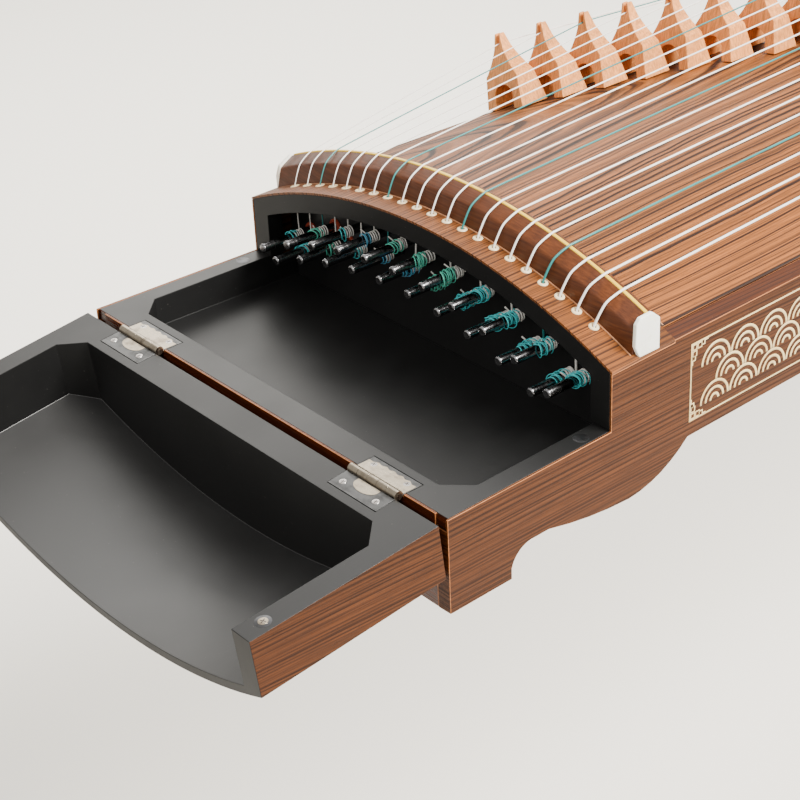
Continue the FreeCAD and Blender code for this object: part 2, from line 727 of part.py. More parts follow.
def string_solid(number):
    """One string: a round bar along its path, mitred at each bend."""
    radius = string_diameter(number) / 2
    points = [FreeCAD.Vector(*point) for point in string_path(number)]
    section = Part.Wire([Part.makeCircle(radius, points[0], points[1] - points[0])])
    mitred = 1
    return Part.makePolygon(points).makePipeShell([section], True, False, mitred)


def strings():
    group = doc.addObject("Part::Feature", "strings")
    group.Label = "strings"
    group.Shape = Part.makeCompound([string_solid(number) for number in range(1, STRINGS + 1)])
    place(group)
    return group


# ---- lid and hinges ----

PIVOT_LEVEL = D.rim_level + D.hinge_gap
LID_TURN = FreeCAD.Rotation(FreeCAD.Vector(0, 1, 0), -LID_OPEN_ANGLE)


def lid_section(x, inset, raised, bottom):
    """Across the closed lid at x of the layout, in the lid's own height."""
    half = half_width(x) - inset
    return arched(half, HEAD_RADIUS + raised, HEAD_CENTRE - PIVOT_LEVEL, bottom)


def lid_shell():
    """The lid, drawn closed about the hinge axis and turned open by its placement."""
    body = new_body("lid_shell")
    reach, rim = D.hinge_reach, D.hinge_gap
    loft(body, [outline(body, "YZ", lid_section(x, 0, 0, rim), offset=reach + x)
                for x in (Size(0), D.lid_length)])
    shoulder = D.end_rim + D.rim_chamfer
    hollow = ((D.end_rim, D.lid_wall + D.rim_chamfer), (shoulder, D.lid_wall), (D.lid_length + 1, D.lid_wall))
    loft(body, [outline(body, "YZ", lid_section(x, inset, -D.lid_board, -1), offset=reach + x)
                for x, inset in hollow], kind="SubtractiveLoft")
    leaf_mortises(body, rim, reach - 1, reach + D.leaf_depth + 0.4, forward=True)
    place(body, -D.hinge_reach.value, 0, PIVOT_LEVEL.value, LID_TURN)
    return body


def box_at(name, low, high):
    block = doc.addObject("Part::Box", name)
    for path, start, end in zip(("Length", "Width", "Height"), low, high):
        bind(block, path, size(end) - size(start))
    block.Placement.Base = FreeCAD.Vector(*[size(number).value for number in low])
    return block


def barrel(name, radius, start, end):
    """A cylinder along Y about the hinge axis."""
    tube = doc.addObject("Part::Cylinder", name)
    bind(tube, "Radius", radius)
    bind(tube, "Height", end - start)
    tube.Placement = FreeCAD.Placement(FreeCAD.Vector(0, start.value, 0),
                                       FreeCAD.Rotation(FreeCAD.Vector(1, 0, 0), -90))
    return tube


def hinge_half(name, side, lid_half):
    """One half of a butt hinge about its own axis: leaf, tabs and its share of the barrels."""
    start = D.hinge_offset * side - D.hinge_length / 2
    pitch = D.hinge_length / BARRELS
    low, high = D.hinge_gap + 0.05, D.hinge_gap + 0.05 + D.leaf_thickness
    if not lid_half:
        low, high = -high, -low
    edge = D.hinge_reach + 0.05
    far_corner = (D.hinge_reach + D.leaf_depth, start + D.hinge_length, high)
    pieces = [box_at(f"{name}_leaf", (edge, start, low), far_corner)]
    for index in range(BARRELS):
        if (index % 2 == 1) != lid_half:
            continue
        first, last = start + pitch * index + 0.1, start + pitch * (index + 1) - 0.1
        pieces.append(box_at(f"{name}_tab_{index}", (0, first, low), (edge + 1, last, high)))
        pieces.append(barrel(f"{name}_barrel_{index}", D.barrel_radius, first, last))
    if not lid_half:
        pieces.append(barrel(f"{name}_pin", D.hinge_pin, start, start + D.hinge_length))
    half = doc.addObject("Part::MultiFuse", f"{name}_fused")
    half.Shapes = pieces
    if not lid_half:
        return half
    bore = barrel(f"{name}_bore", D.hinge_pin + 0.05, start - 1, start + D.hinge_length + 1)
    return boolean("Cut", f"{name}_bored", half, bore)


def hinge_halves(name, lid_half):
    halves = [hinge_half(f"{name}_{index}", side, lid_half) for index, side in ((1, -1), (2, 1))]
    group = compound(name, halves)
    turn = LID_TURN if lid_half else FreeCAD.Rotation()
    place(group, -D.hinge_reach.value, 0, PIVOT_LEVEL.value, turn)
    return group


# ---- build, check, write ----

def build_all():
    parts = [side_board("near_side_board", -1), side_board("far_side_board", 1), head_end_board(),
             string_box(), riser_panel(), head_board(), pin_block(), front_nut(), soundboard(),
             back_board(), rear_nut(), tail_block(), arch_braces(), rest_bars(), strings(),
             lid_shell(), hinge_halves("box_hinge_leaves", False), hinge_halves("lid_hinge_leaves", True)]
    for number in range(1, STRINGS + 1):
        parts.append(tuning_pin(number))
        parts.append(bridge(number))
    return parts


def check_strings():
    """Each string's volume has to be its section times its length."""
    for number in range(1, STRINGS + 1):
        points = [FreeCAD.Vector(*point) for point in string_path(number)]
        length = sum((end - start).Length for start, end in zip(points, points[1:]))
        volume = math.pi * (string_diameter(number) / 2) ** 2 * length
        if abs(string_solid(number).Volume / volume - 1) > 0.02:
            raise RuntimeError(f"string {number} has the wrong volume")


def check(parts):
    for item in doc.Objects:
        if "Invalid" in item.State or "Error" in item.State:
            raise RuntimeError(f"{item.Label} failed: {item.State}")
        if item.TypeId in ("PartDesign::Pocket", "PartDesign::Groove", "PartDesign::SubtractiveLoft"):
            if item.BaseFeature.Shape.Volume - item.Shape.Volume < 1:
                raise RuntimeError(f"{item.Label} cuts nothing")
    for part in parts:
        if part.Shape.isNull() or not part.Shape.isValid():
            raise RuntimeError(f"{part.Label} has no valid shape")


parts = build_all()
doc.recompute()
check(parts)
check_strings()
os.makedirs("parts", exist_ok=True)
for part in parts:
    part.Shape.exportStep(f"parts/{part.Label}.step")
print(len(parts), "parts written")
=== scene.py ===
import json
import math
import random

import bmesh
import bpy
from mathutils import Matrix, Vector

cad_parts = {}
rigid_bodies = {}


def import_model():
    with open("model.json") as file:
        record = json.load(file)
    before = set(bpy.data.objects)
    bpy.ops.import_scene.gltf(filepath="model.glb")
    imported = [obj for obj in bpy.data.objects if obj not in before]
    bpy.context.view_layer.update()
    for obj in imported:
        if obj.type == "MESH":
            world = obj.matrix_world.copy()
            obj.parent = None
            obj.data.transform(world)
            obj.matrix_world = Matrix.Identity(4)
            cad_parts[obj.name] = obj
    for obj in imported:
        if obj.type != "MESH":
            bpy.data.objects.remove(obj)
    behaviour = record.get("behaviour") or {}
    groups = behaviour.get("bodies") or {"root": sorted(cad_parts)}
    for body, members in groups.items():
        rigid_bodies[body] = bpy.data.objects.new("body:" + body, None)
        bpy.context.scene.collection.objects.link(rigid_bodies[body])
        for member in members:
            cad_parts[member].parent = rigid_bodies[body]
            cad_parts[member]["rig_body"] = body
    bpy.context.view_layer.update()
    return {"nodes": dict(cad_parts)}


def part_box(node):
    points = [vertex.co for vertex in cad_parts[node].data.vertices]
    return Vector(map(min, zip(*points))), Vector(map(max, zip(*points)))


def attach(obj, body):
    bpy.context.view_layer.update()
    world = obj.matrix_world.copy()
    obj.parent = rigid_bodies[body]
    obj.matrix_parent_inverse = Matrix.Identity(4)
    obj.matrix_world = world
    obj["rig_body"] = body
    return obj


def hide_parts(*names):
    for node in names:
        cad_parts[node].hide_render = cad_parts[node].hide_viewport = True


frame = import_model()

# ---- sizes of the instrument, in metres, in the row frame ----

MM = 0.001
STRINGS = 21
MIDDLE = (STRINGS + 1) // 2
REST = 29 * MM                      # the head end face is this far before the origin
HEAD_WIDTH, TAIL_WIDTH, BODY_LENGTH = 0.350, 0.268, 1.630
EDGE_LEVEL = 102.1 * MM
HEAD_RISE, TAIL_RISE = 38.1 * MM, 27 * MM
BOARD_INSET = 10.05 * MM            # the soundboard's edge inside the outer face of the side
BOARD_START = 183 * MM - REST
SIDE_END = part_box("soundboard")[1].x
RIM_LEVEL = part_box("string_box")[1].z
RISER_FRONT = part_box("riser_panel")[0].x
PIN_RADIUS = 3.1 * MM
PIN_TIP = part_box("tuning_pin_11")[0].x
BLOCK_FACE = 153 * MM - REST
EYELET_ROW = 145 * MM - REST
EYELET_PITCH, NUT_PITCH, REAR_PITCH = 14.17 * MM, 14.64 * MM, 11.9 * MM
NUT_HEIGHT, NUT_SHOULDER = 17.9 * MM, 12.5 * MM
NUT_BEND = 152.2 * MM - REST        # where a string meets the nut's front edge
NUT_REAR = 169.5 * MM - REST
STRIP_CENTRE, STRIP_HALF = 164.7 * MM - REST, 165.8 * MM
REAR_NUT_HEIGHT, REAR_NUT_CENTRE = 13 * MM, 1385 * MM - REST
REAR_NUT_SWING, REAR_NUT_RADIUS = 45 * MM, 150 * MM
TAIL_HOLES, TAIL_HOLE_STAGGER = 1516 * MM - REST, 8 * MM
TAIL_GATHER = 0.97                  # the tail holes' spacing, as a share of that at the rear nut
CAP_START, CAP_END = 167.6 * MM, 170.7 * MM
FIRST_BRIDGE = 351 * MM - REST
BRIDGE_PITCH, BRIDGE_TAPER = 14.1 * MM, 0.004
SEAT_HEIGHT = 46.85 * MM            # a string's underside above the top, at its bridge
THINNEST_STRING, STRING_GROWTH = 0.75 * MM, 0.042 * MM
HINGE_REACH = 3.2 * MM              # the hinge axis before the head end face
PIVOT = Vector((-HINGE_REACH - REST, 0, 62.9 * MM))
LID_OPEN = Matrix.Rotation(math.radians(-186.3), 4, "Y")
HINGE_OFFSET = 117 * MM
SHARP_ANGLE = math.radians(32)


def half_width(x):
    """Half the outer width of the body at x."""
    return (HEAD_WIDTH - (HEAD_WIDTH - TAIL_WIDTH) * (x + REST) / BODY_LENGTH) / 2


def arch(x, rise):
    """Radius and centre height of the top arch whose edges meet the sides at x."""
    radius = (half_width(x) ** 2 + rise ** 2) / (2 * rise)
    return radius, EDGE_LEVEL + rise - radius


HEAD_RADIUS, HEAD_CENTRE = arch(RISER_FRONT, HEAD_RISE)
TAIL_RADIUS, TAIL_CENTRE = arch(SIDE_END, TAIL_RISE)


def top_level(x, y):
    """Height of the instrument's top at a point: past the head board, it is ruled between two arches."""
    if x <= BOARD_START:
        return HEAD_CENTRE + math.sqrt(HEAD_RADIUS ** 2 - y ** 2)
    share = min(1, (x - BOARD_START) / (SIDE_END - BOARD_START))
    head_turn = math.asin((half_width(BOARD_START) - BOARD_INSET) / HEAD_RADIUS)
    tail_turn = math.asin((half_width(SIDE_END) - BOARD_INSET) / TAIL_RADIUS)
    low, high = -1.3, 1.3
    for _ in range(40):
        turn = (low + high) / 2
        across = HEAD_RADIUS * math.sin(turn * head_turn)
        across += (TAIL_RADIUS * math.sin(turn * tail_turn) - across) * share
        if across < y:
            low = turn
        else:
            high = turn
    head = HEAD_CENTRE + HEAD_RADIUS * math.cos(turn * head_turn)
    return head + (TAIL_CENTRE + TAIL_RADIUS * math.cos(turn * tail_turn) - head) * share


def lean(x, y):
    """Angle of the top's slope at a point, positive towards +Y."""
    return math.atan((top_level(x, y - MM) - top_level(x, y + MM)) / (2 * MM))


def above(x, y, height):
    """The point over (x, y) that stands clear of the top by a height."""
    return Vector((x, y, top_level(x, y) + height / math.cos(lean(x, y))))


def on_lid(x, y, z):
    """A point of the open lid, from where it lies about the hinge axis when the lid is shut."""
    return PIVOT + LID_OPEN @ Vector((x, y, z))


def pin_axis(number):
    """The Y and Z of a tuning pin's axis, which runs along X."""
    low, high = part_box(f"tuning_pin_{number:02d}")
    return (low.y + high.y) / 2, (low.z + high.z) / 2


def string_radius(number):
    return (THINNEST_STRING + STRING_GROWTH * (number - 1)) / 2


# ---- materials ----

class Paint:
    """A procedural material, made by short calls."""

    def __init__(self, name, roughness=0.5, metallic=0.0, **sockets):
        self.material = bpy.data.materials.new(name)
        self.material.use_nodes = True
        self.tree = self.material.node_tree
        self.shader = self.tree.nodes["Principled BSDF"]
        self.shader.inputs["Roughness"].default_value = roughness
        self.shader.inputs["Metallic"].default_value = metallic
        for socket, number in sockets.items():
            self.shader.inputs[socket.replace("_", " ")].default_value = number
        self.place = self.add("ShaderNodeTexCoord").outputs["Object"]

    def add(self, kind, inputs=None, **settings):
        """A node; each input is a constant or another node's output."""
        node = self.tree.nodes.new(kind)
        for setting, choice in settings.items():
            setattr(node, setting, choice)
        for socket, source in (inputs or {}).items():
            if isinstance(source, bpy.types.NodeSocket):
                self.tree.links.new(source, node.inputs[socket])
            else:
                node.inputs[socket].default_value = source
        return node

    def stretched(self, scale, place=None):
        """Places scaled along each axis, the object's own unless others are given."""
        return self.add("ShaderNodeMapping", {"Vector": place or self.place, "Scale": scale}).outputs[0]

    def noise(self, scale, detail=3.0, roughness=0.55, place=None, output="Fac"):
        """Noise with its own scale along each axis, in features per metre."""
        inputs = {"Vector": self.stretched(scale, place), "Scale": 1.0, "Detail": detail,
                  "Roughness": roughness}
        return self.add("ShaderNodeTexNoise", inputs).outputs[output]

    def maths(self, kind, first, second=0.5, third=0.5):
        return self.add("ShaderNodeMath", {0: first, 1: second, 2: third}, operation=kind).outputs[0]

    def spread(self, value, low, high, first=0.0, last=1.0):
        """Maps a value from one range to another, and stops at the ends."""
        inputs = {"Value": value, "From Min": low, "From Max": high, "To Min": first, "To Max": last}
        return self.add("ShaderNodeMapRange", inputs).outputs[0]

    def ramp(self, value, stops):
        """A colour along stops of (position, colour)."""
        node = self.add("ShaderNodeValToRGB", {"Fac": value})
        marks = node.color_ramp.elements
        while len(marks) < len(stops):
            marks.new(0.5)
        for mark, (position, colour) in zip(marks, stops):
            mark.position = position
            mark.color = (*colour, 1)
        return node.outputs[0]

    def mix(self, share, first, second, kind="MIX"):
        """Two colours mixed, each a triple or another node's output."""
        colours = [(*c, 1) if isinstance(c, tuple) else c for c in (first, second)]
        node = self.add("ShaderNodeMix", {"Factor": share}, data_type="RGBA", blend_type=kind)
        for socket, colour in zip((6, 7), colours):
            if isinstance(colour, bpy.types.NodeSocket):
                self.tree.links.new(colour, node.inputs[socket])
            else:
                node.inputs[socket].default_value = colour
        return node.outputs[2]

    def shaded(self, colour, value):
        """A colour multiplied by a grey value."""
        grey = self.add("ShaderNodeCombineXYZ", {0: value, 1: value, 2: value}).outputs[0]
        return self.mix(1.0, colour, grey, "MULTIPLY")

    def feed(self, socket, source):
        self.tree.links.new(source, self.shader.inputs[socket])

    def bump(self, height, strength, depth=0.0004):
        inputs = {"Height": height, "Strength": strength, "Distance": depth}
        self.feed("Normal", self.add("ShaderNodeBump", inputs).outputs[0])


def wood(name, light, dark, along="x", ring_pitch=0.004, heart=(0.02, -0.06), tilt=0.03, contrast=0.8,
         roughness=0.42, pores=0.5, shade_from=None, specular=0.25):
    """Sawn wood: growth rings about a heart line, cut by the surface, with fibres and pores along it.
    Past shade_from, a distance along the grain, the wood is darker."""
    paint = Paint(name, roughness, Specular_IOR_Level=specular)
    turn = {"x": (0, 0, 0), "y": (0, 0, math.pi / 2), "z": (0, math.pi / 2, 0)}[along]
    place = paint.add("ShaderNodeMapping", {"Vector": paint.place, "Rotation": turn}).outputs[0]
    parts = paint.add("ShaderNodeSeparateXYZ", {0: place}).outputs
    warp = paint.noise((1.3, 9, 9), 2, 0.5, place, "Color")
    sway = paint.add("ShaderNodeSeparateXYZ", {0: warp}).outputs
    across = paint.maths("MULTIPLY_ADD", sway[0], 0.012, paint.maths("SUBTRACT", parts[1], heart[0] + 0.006))
    depth = paint.maths("MULTIPLY_ADD", sway[1], 0.018, paint.maths("SUBTRACT", parts[2], heart[1] + 0.009))
    depth = paint.maths("MULTIPLY_ADD", parts[0], tilt, depth)
    squares = paint.maths("MULTIPLY_ADD", across, across, paint.maths("MULTIPLY", depth, depth))
    radius = paint.maths("DIVIDE", paint.maths("SQRT", squares), ring_pitch)
    rings = paint.add("ShaderNodeTexNoise", {"W": radius, "Scale": 1.0, "Detail": 2.5, "Roughness": 0.6},
                      noise_dimensions="1D").outputs[0]
    fibres = paint.noise((14, 700, 700), 3, 0.6, place)
    tone = paint.noise((1.6, 14, 14), 2, 0.5, place)
    middle = tuple(bright * 0.55 + dim * 0.45 for bright, dim in zip(light, dark))
    colour = paint.ramp(rings, [(0.39, dark), (0.47, middle), (0.56, light), (0.80, light)])
    colour = paint.mix(contrast, middle, colour)
    colour = paint.shaded(colour, paint.spread(fibres, 0.3, 0.7, 0.62, 1.22))
    colour = paint.shaded(colour, paint.spread(tone, 0.3, 0.7, 0.82, 1.12))
    holes = paint.spread(paint.noise((160, 2400, 2400), 2, 0.5, place), 0.60, 0.72, 0, pores)
    colour = paint.mix(holes, colour, tuple(c * 0.45 for c in dark))
    if shade_from is not None:
        behind = paint.spread(parts[0], shade_from, shade_from + 0.001, 0, 0.45)
        colour = paint.mix(behind, colour, tuple(c * 0.7 for c in dark))
    paint.feed("Base Color", colour)
    paint.feed("Roughness", paint.spread(rings, 0.3, 0.7, roughness + 0.12, roughness - 0.04))
    paint.bump(paint.maths("SUBTRACT", fibres, holes), 0.25, 0.0003)
    return paint.material


def lacquer(name, colour=(0.006, 0.006, 0.006), roughness=0.36, specular=0.34):
    """Satin black lacquer with faint brush marks, dust and rubbed patches."""
    paint = Paint(name, roughness, Specular_IOR_Level=specular)
    patches = paint.noise((11, 11, 11), 4, 0.6)
    marks = paint.noise((60, 900, 60), 2, 0.5)
    dust = paint.spread(paint.noise((700, 700, 700), 2, 0.4), 0.74, 0.80, 0, 0.35)
    rubbed = tuple(c * 1.7 for c in colour)
    paint.feed("Base Color", paint.mix(dust, paint.ramp(patches, [(0.3, colour), (0.8, rubbed)]),
                                       (0.16, 0.15, 0.14)))
    paint.feed("Roughness", paint.spread(patches, 0.3, 0.7, roughness - 0.05, roughness + 0.08))
    paint.bump(paint.maths("MULTIPLY_ADD", marks, 0.4, patches), 0.08, 0.0005)
    return paint.material


def metal(name, colour, roughness, tarnish):
    """Plated metal with fine scratches and duller patches."""
    paint = Paint(name, roughness, 1.0)
    scratches = paint.noise((900, 60, 60), 3, 0.7)
    patches = paint.noise((120, 120, 120), 4, 0.65)
    dull = paint.spread(patches, 0.5, 0.72, 0, 0.8)
    paint.feed("Base Color", paint.mix(dull, colour, tarnish))
    paint.feed("Roughness", paint.spread(paint.maths("MULTIPLY", scratches, patches), 0.1, 0.5,
                                         roughness * 0.7, roughness + 0.25))
    paint.bump(scratches, 0.1, 0.0001)
    return paint.material


def smooth_stuff(name, colour, shade, roughness, grain=(220, 220, 220), strength=0.1, **sockets):
    """Bone, nylon, thread or inlay: an even colour with slight clouding and a fine surface."""
    paint = Paint(name, roughness, **sockets)
    clouds = paint.noise((45, 45, 45), 3, 0.6)
    fine = paint.noise(grain, 2, 0.5)
    paint.feed("Base Color", paint.ramp(paint.maths("MULTIPLY_ADD", fine, 0.3, clouds),
                                        [(0.45, shade), (0.75, colour)]))
    paint.feed("Roughness", paint.spread(clouds, 0.3, 0.7, roughness - 0.06, roughness + 0.06))
    paint.bump(fine, strength, 0.0002)
    return paint.material


def twisted(name, colour, shade, pitch, roughness=0.38):
    """Wound string: fine turns along X."""
    paint = Paint(name, roughness, Coat_Weight=0.3, Coat_Roughness=0.2)
    wave = {"Vector": paint.place, "Scale": 1 / pitch / 3.2, "Distortion": 0.4, "Detail": 1.0}
    turns = paint.add("ShaderNodeTexWave", wave, bands_direction="X").outputs["Fac"]
    clouds = paint.noise((30, 300, 300), 3, 0.6)
    paint.feed("Base Color", paint.mix(paint.spread(clouds, 0.35, 0.7, 0, 0.6), colour, shade))
    paint.bump(turns, 0.15, 0.00008)
    return paint.material


WALNUT_LIGHT, WALNUT_DARK = (0.084, 0.0245, 0.0050), (0.020, 0.0060, 0.0020)
MATERIALS = {
    "side": wood("side_veneer", WALNUT_LIGHT, WALNUT_DARK, ring_pitch=0.0018, heart=(-0.17, -0.25), tilt=0.02,
                 contrast=0.75, specular=0.12),
    "binding": wood("binding_wood", (0.070, 0.020, 0.007), (0.020, 0.006, 0.003), ring_pitch=0.0016,
                    heart=(0.4, 0.02), contrast=0.6),
    # Lighter wood for the rounded edges: partly the veneer's own light edge, partly a painted highlight along
    # the edges.
    "edge": wood("veneer_edge_highlight", (0.46, 0.17, 0.055), (0.24, 0.08, 0.025), ring_pitch=0.002, contrast=0.4,
                 roughness=0.35),
    "end": wood("end_board_wood", (0.080, 0.018, 0.006), (0.026, 0.006, 0.0025), along="y", ring_pitch=0.002,
                heart=(0.2, -0.2), contrast=0.6, roughness=0.25),
    "board": wood("soundboard_wood", (0.270, 0.088, 0.0195), (0.020, 0.0065, 0.003), ring_pitch=0.0012,
                  heart=(0.055, -0.02), tilt=0.045, contrast=1.0, roughness=0.44),
    "head": wood("head_board_wood", (0.225, 0.072, 0.0160), (0.020, 0.0065, 0.003), ring_pitch=0.0012,
                 heart=(0.3, -0.1), contrast=0.8, shade_from=NUT_REAR),
    "nut": wood("nut_wood", (0.120, 0.036, 0.011), (0.062, 0.017, 0.006), along="y", ring_pitch=0.004,
                heart=(0.3, -0.1), contrast=0.35, roughness=0.36, pores=0.2),
    "back": wood("back_wood", (0.35, 0.19, 0.09), (0.20, 0.10, 0.05), ring_pitch=0.004, heart=(0.0, -0.2)),
    "raw": wood("raw_wood", (0.45, 0.28, 0.14), (0.30, 0.17, 0.08), ring_pitch=0.003, heart=(0.1, -0.1)),
    "bridge": wood("bridge_wood", (0.790, 0.325, 0.098), (0.670, 0.245, 0.066), along="z", ring_pitch=0.0028,
                   heart=(0.5, 0.3), contrast=0.35, roughness=0.40, pores=0.15),
    "black": lacquer("black_lacquer"),
    "riser": lacquer("riser_lacquer", roughness=0.42, specular=0.15),
    # Painted light: a lighter, more reflective copy of the black lacquer for the lid's inner floor, standing
    # in for the brighter light it catches.
    "lining": lacquer("lid_floor_lit_lacquer", (0.010, 0.010, 0.010), roughness=0.38, specular=1.0),
    "pin": metal("dark_pin_steel", (0.30, 0.30, 0.31), 0.10, (0.12, 0.12, 0.13)),
    "nickel": metal("hinge_nickel", (0.355, 0.305, 0.235), 0.28, (0.14, 0.11, 0.08)),
    # Painted shade: a darker copy of the hinge metal for the leaves, standing in for the shade on them.
    "leaf": metal("hinge_leaf_painted_shade", (0.10, 0.10, 0.10), 0.40, (0.05, 0.05, 0.05)),
    "screw": metal("screw_steel", (0.42, 0.40, 0.38), 0.25, (0.14, 0.12, 0.11)),
    "magnet": metal("magnet_steel", (0.100, 0.100, 0.105), 0.38, (0.055, 0.055, 0.055)),
    "bone": smooth_stuff("bone_strip", (0.74, 0.47, 0.032), (0.62, 0.36, 0.020), 0.36),
    "cap": smooth_stuff("cap_bone", (0.93, 0.90, 0.82), (0.84, 0.78, 0.66), 0.28, Subsurface_Weight=0.1),
    "eyelet": smooth_stuff("eyelet_bone", (0.76, 0.63, 0.41), (0.64, 0.49, 0.28), 0.30),
    "inlay": smooth_stuff("inlay_shell", (0.76, 0.58, 0.28), (0.62, 0.43, 0.18), 0.34),
    "line": smooth_stuff("light_line", (0.42, 0.20, 0.10), (0.30, 0.13, 0.06), 0.40),
    # Dark lines let into the top, and also the painted shade of the screw slots.
    "dark_line": smooth_stuff("dark_line", (0.030, 0.018, 0.012), (0.018, 0.010, 0.008), 0.45),
    "white": twisted("white_string", (0.90, 0.87, 0.82), (0.74, 0.70, 0.64), 0.0006),
    "green": twisted("green_string", (0.012, 0.20, 0.19), (0.006, 0.13, 0.13), 0.0006),
    "teal": twisted("teal_thread", (0.05, 0.62, 0.64), (0.03, 0.42, 0.46), 0.0008, 0.5),
    "sea": twisted("sea_thread", (0.10, 0.62, 0.44), (0.05, 0.42, 0.32), 0.0008, 0.5),
    "blue": twisted("blue_thread", (0.10, 0.42, 0.62), (0.05, 0.28, 0.44), 0.0008, 0.5),
    "felt": smooth_stuff("red_felt", (0.42, 0.05, 0.02), (0.25, 0.03, 0.01), 0.9, (900, 900, 900), 0.5),
}


# ---- making pieces ----

def add_piece(name, data, materials, body):
    """An object in the scene that rides a body, with materials unless its data has them."""
    piece = bpy.data.objects.new(name, data)
    bpy.context.scene.collection.objects.link(piece)
    if not data.materials:
        for material in materials:
            data.materials.append(MATERIALS[material])
    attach(piece, body)
    return piece


def mesh_from(name, work):
    """A smooth mesh with sharp edges, from a bmesh that it frees."""
    mesh = bpy.data.meshes.new(name)
    bmesh.ops.recalc_face_normals(work, faces=work.faces)
    work.to_mesh(mesh)
    work.free()
    mesh.shade_smooth()
    mesh.set_sharp_from_angle(angle=SHARP_ANGLE)
    return mesh


def round_edges(piece, width, segments=2, edge_slot=-1):
    """Rounds a piece's sharp edges, in the material of edge_slot if it isn't -1."""
    bevel = piece.modifiers.new("round", "BEVEL")
    bevel.width = width
    bevel.segments = segments
    bevel.limit_method = "ANGLE"
    bevel.angle_limit = math.radians(35)
    bevel.use_clamp_overlap = True
    bevel.material = edge_slot
    bevel.harden_normals = True


def thicken(piece, thickness):
    """Gives a flat piece thickness, half to each side."""
    solid = piece.modifiers.new("thickness", "SOLIDIFY")
    solid.thickness = thickness
    solid.offset = 0


def finished(node, materials, width=0.4 * MM, choose=None, edge=False):
    """A finished copy of a CAD node with rounded edges. The first material covers it, choose(centre,
    normal) may name another for a face, and with edge set the last one lines its rounded edges."""
    mesh = frame["nodes"][node].data.copy()
    mesh.name = node + "_finish"
    mesh.materials.clear()
    work = bmesh.new()
    work.from_mesh(mesh)
    bmesh.ops.remove_doubles(work, verts=work.verts, dist=2e-6)
    bmesh.ops.dissolve_limit(work, angle_limit=math.radians(0.5), verts=work.verts, edges=work.edges)
    for face in work.faces:
        material = choose(face.calc_center_median(), face.normal) if choose else materials[0]
        face.material_index = materials.index(material)
    work.to_mesh(mesh)
    work.free()
    if "custom_normal" in mesh.attributes:
        mesh.attributes.remove(mesh.attributes["custom_normal"])
    mesh.shade_smooth()
    mesh.set_sharp_from_angle(angle=SHARP_ANGLE)
    body = frame["nodes"][node]["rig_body"]
    piece = add_piece(node + "_finish", mesh, materials, body)
    round_edges(piece, width, 2, len(materials) - 1 if edge else -1)
    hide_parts(node)


def straight_across(_y):
    """The middle line of a bar that runs straight across the top, with its own x in its section."""
    return 0.0


def arched_bar(name, material, section, half, middle=straight_across, steps=72):
    """A bar across the top: section points are (x from the middle line, height above the top)."""
    work = bmesh.new()
    rings = []
    for step in range(steps + 1):
        y = half * (2 * step / steps - 1)
        rings.append([work.verts.new(above(middle(y) + x, y, height)) for x, height in section])
    count = len(section)
    for first, last in zip(rings, rings[1:]):
        for index in range(count):
            after = (index + 1) % count
            work.faces.new((first[index], first[after], last[after], last[index]))
    work.faces.new(rings[0])
    work.faces.new(reversed(rings[-1]))
    return add_piece(name, mesh_from(name, work), [material], "case")


def lathe(name, profile, segments=28):
    """A mesh turned about its own Z from closed profile points (radius, height)."""
    work = bmesh.new()
    rings = []
    for step in range(segments):
        turn = 2 * math.pi * step / segments
        rings.append([work.verts.new((radius * math.cos(turn), radius * math.sin(turn), height))
                      for radius, height in profile])
    for first, last in zip(rings, rings[1:] + rings[:1]):
        for low in range(len(profile)):
            high = (low + 1) % len(profile)
            work.faces.new((first[low], last[low], last[high], first[high]))
    bmesh.ops.remove_doubles(work, verts=work.verts, dist=1e-7)
    return mesh_from(name, work)


def placed(piece, place, axis):
    """Moves a piece made about its own Z to a place, its Z along an axis."""
    turn = Vector(axis).normalized().to_track_quat("Z", "Y").to_matrix().to_4x4()
    piece.matrix_world = Matrix.Translation(place) @ turn


def round_strand(name, radius, steps_round, steps_along):
    """An empty curve with a round section."""
    curve = bpy.data.curves.new(name, "CURVE")
    curve.dimensions = "3D"
    curve.bevel_depth = radius
    curve.bevel_resolution = steps_round
    curve.resolution_u = steps_along
    curve.use_fill_caps = True
    return curve


def bent_curve(name, bends, radius, material, body):
    """A round strand through bends (point, reach): reach is how far each bend's rounding goes."""
    curve = round_strand(name, radius, 4, 10)
    spline = curve.splines.new("BEZIER")
    spline.bezier_points.add(len(bends) - 1)
    points = [Vector(point) for point, _ in bends]
    for index, (knot, (point, reach)) in enumerate(zip(spline.bezier_points, bends)):
        before = (points[index] - points[max(index - 1, 0)]).normalized()
        after = (points[min(index + 1, len(points) - 1)] - points[index]).normalized()
        tangent = (before + after).normalized()
        knot.handle_left_type = knot.handle_right_type = "FREE"
        knot.co = point
        knot.handle_left = points[index] - tangent * reach
        knot.handle_right = points[index] + tangent * reach
    return add_piece(name, curve, [material], body)


def coil_curve(name, points, radius, material, body):
    """A round strand along a smooth line that follows many points."""
    curve = round_strand(name, radius, 2, 3)
    spline = curve.splines.new("NURBS")
    spline.points.add(len(points) - 1)
    for knot, point in zip(spline.points, points):
        knot.co = (*point, 1)
    spline.order_u = 4
    spline.use_endpoint_u = True
    add_piece(name, curve, [material], body)


